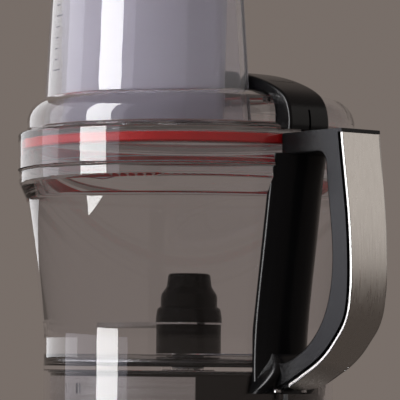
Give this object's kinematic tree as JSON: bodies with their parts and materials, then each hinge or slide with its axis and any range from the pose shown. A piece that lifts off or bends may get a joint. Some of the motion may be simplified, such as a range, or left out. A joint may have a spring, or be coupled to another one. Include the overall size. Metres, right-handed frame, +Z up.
{
  "type": "food processor",
  "caption": "Countertop food processor with a clear twist-lock bowl, side handle, wide-feed lid with nested pushers and S-shaped blades on a direct-drive motor base.",
  "frame": {"origin": "on the drive axis, in the plane the feet stand on", "axes": "+Z up along the drive axis, -Y towards the control panel and the user, +X along the bowl handle"},
  "size_m": [0.2669, 0.2103, 0.4445],
  "materials": {
    "housing_metal": "satin silver",
    "polished_metal": "polished",
    "brushed_steel": "brushed",
    "black_plastic": "satin black",
    "grey_plastic": "satin grey",
    "panel_black": "gloss black",
    "clear_plastic": "clear",
    "display_glass": "dark clear",
    "red_silicone": "matte red",
    "black_rubber": "matte",
    "steel": "bright",
    "blade_steel": "polished",
    "lamination": "laminated",
    "copper": "enamelled",
    "cast_aluminium": "as cast",
    "board": "satin green",
    "white_plastic": "satin"
  },
  "bodies": {
    "base": {"base_housing": "housing_metal", "bottom_plate": "black_plastic", "feet": "black_rubber", "base_screws": "steel", "boss_housing": "black_plastic", "boss_band": "polished_metal", "shaft_seal": "black_rubber", "interlock_turret": "black_plastic", "plunger_spring": "steel", "interlock_switch": "black_plastic", "stator_core": "lamination", "stator_windings": "copper", "upper_bracket": "cast_aluminium", "lower_bracket": "cast_aluminium", "upper_bearing": "steel", "lower_bearing": "steel", "motor_bolts": "steel", "motor_mounts": "black_rubber", "run_capacitor": "white_plastic", "capacitor_cradle": "black_plastic", "power_board": "board", "control_panel": "panel_black", "display_bezel": "polished_metal", "display_lens": "display_glass", "display_module": "black_plastic", "control_board": "board", "tact_switches": "black_plastic", "cord_gland": "black_rubber"},
    "rotor": {"rotor_core": "lamination", "motor_shaft": "steel", "cooling_fan": "black_plastic", "drive_dog": "steel"},
    "plunger": {"interlock_plunger": "white_plastic"},
    "start_key": {"start_button": "grey_plastic"},
    "pulse_key": {"pulse_button": "grey_plastic"},
    "power_key": {"power_button": "grey_plastic"},
    "timer_up_key": {"timer_up_button": "grey_plastic"},
    "timer_down_key": {"timer_down_button": "grey_plastic"},
    "bowl_ring": {"bowl_gasket": "black_rubber"},
    "bowl": {"bowl": "clear_plastic", "handle_frame": "black_plastic", "handle_cover": "brushed_steel", "handle_screws": "steel"},
    "rod": {"interlock_rod": "grey_plastic"},
    "blades": {"drive_spindle": "grey_plastic", "blade_hub": "black_plastic", "hub_spacer": "black_plastic", "hub_cap": "black_plastic", "lower_blade": "blade_steel", "upper_blade": "blade_steel"},
    "lid_ring": {"lid_seal": "red_silicone"},
    "lid": {"lid": "clear_plastic", "feed_chute": "clear_plastic", "latch_cover": "black_plastic", "latch_tongue": "black_plastic", "latch_screws": "steel"},
    "large_pusher": {"large_pusher": "clear_plastic", "pusher_cap": "black_plastic"},
    "small_pusher": {"small_pusher": "clear_plastic", "small_pusher_rim": "black_plastic"}
  },
  "joints": [
    {"name": "motor_spin", "type": "hinge", "parent": "base", "child": "rotor", "pos_m": [0, 0, 0], "axis": [0, 0, 1], "continuous": true},
    {"name": "bowl_lift", "type": "slide", "parent": "base", "child": "bowl_ring", "axis": [0, 0, 1], "range_m": [0, 0.06]},
    {"name": "bowl_twist", "type": "hinge", "parent": "bowl_ring", "child": "bowl", "pos_m": [0, 0, 0], "axis": [0, 0, 1], "range_deg": [-25, 0]},
    {"name": "blade_spin", "type": "hinge", "parent": "bowl_ring", "child": "blades", "pos_m": [0, 0, 0], "axis": [0, 0, 1], "continuous": true},
    {"name": "rod_slide", "type": "slide", "parent": "bowl", "child": "rod", "axis": [0.1082, 0, 0.9941], "range_m": [0, 0.003]},
    {"name": "plunger_slide", "type": "slide", "parent": "base", "child": "plunger", "axis": [0, 0, 1], "range_m": [0, 0.003], "deforming": ["plunger_spring"]},
    {"name": "lid_lift", "type": "slide", "parent": "bowl", "child": "lid_ring", "axis": [0, 0, 1], "range_m": [0, 0.06]},
    {"name": "lid_twist", "type": "hinge", "parent": "lid_ring", "child": "lid", "pos_m": [0, 0, 0], "axis": [0, 0, 1], "range_deg": [-25, 0]},
    {"name": "large_pusher_lift", "type": "slide", "parent": "lid", "child": "large_pusher", "axis": [0, 0, 1], "range_m": [0, 0.14]},
    {"name": "small_pusher_lift", "type": "slide", "parent": "large_pusher", "child": "small_pusher", "axis": [0, 0, 1], "range_m": [0, 0.155]},
    {"name": "start_press", "type": "slide", "parent": "base", "child": "start_key", "axis": [0, 1, 0], "range_m": [0, 0.0015], "stiffness_N_per_m": 400},
    {"name": "pulse_press", "type": "slide", "parent": "base", "child": "pulse_key", "axis": [0, 1, 0], "range_m": [0, 0.0015], "stiffness_N_per_m": 400},
    {"name": "power_press", "type": "slide", "parent": "base", "child": "power_key", "axis": [0, 1, 0], "range_m": [0, 0.0015], "stiffness_N_per_m": 400},
    {"name": "timer_up_press", "type": "slide", "parent": "base", "child": "timer_up_key", "axis": [0, 1, 0], "range_m": [0, 0.0015], "stiffness_N_per_m": 400},
    {"name": "timer_down_press", "type": "slide", "parent": "base", "child": "timer_down_key", "axis": [0, 1, 0], "range_m": [0, 0.0015], "stiffness_N_per_m": 400}
  ],
  "couplings": [
    {"joint": "blade_spin", "follows": "motor_spin", "ratio": 1},
    {"joint": "rod_slide", "follows": "lid_twist", "m_per_rad": -0.0068755},
    {"joint": "plunger_slide", "follows": "lid_twist", "m_per_rad": -0.0068755}
  ]
}
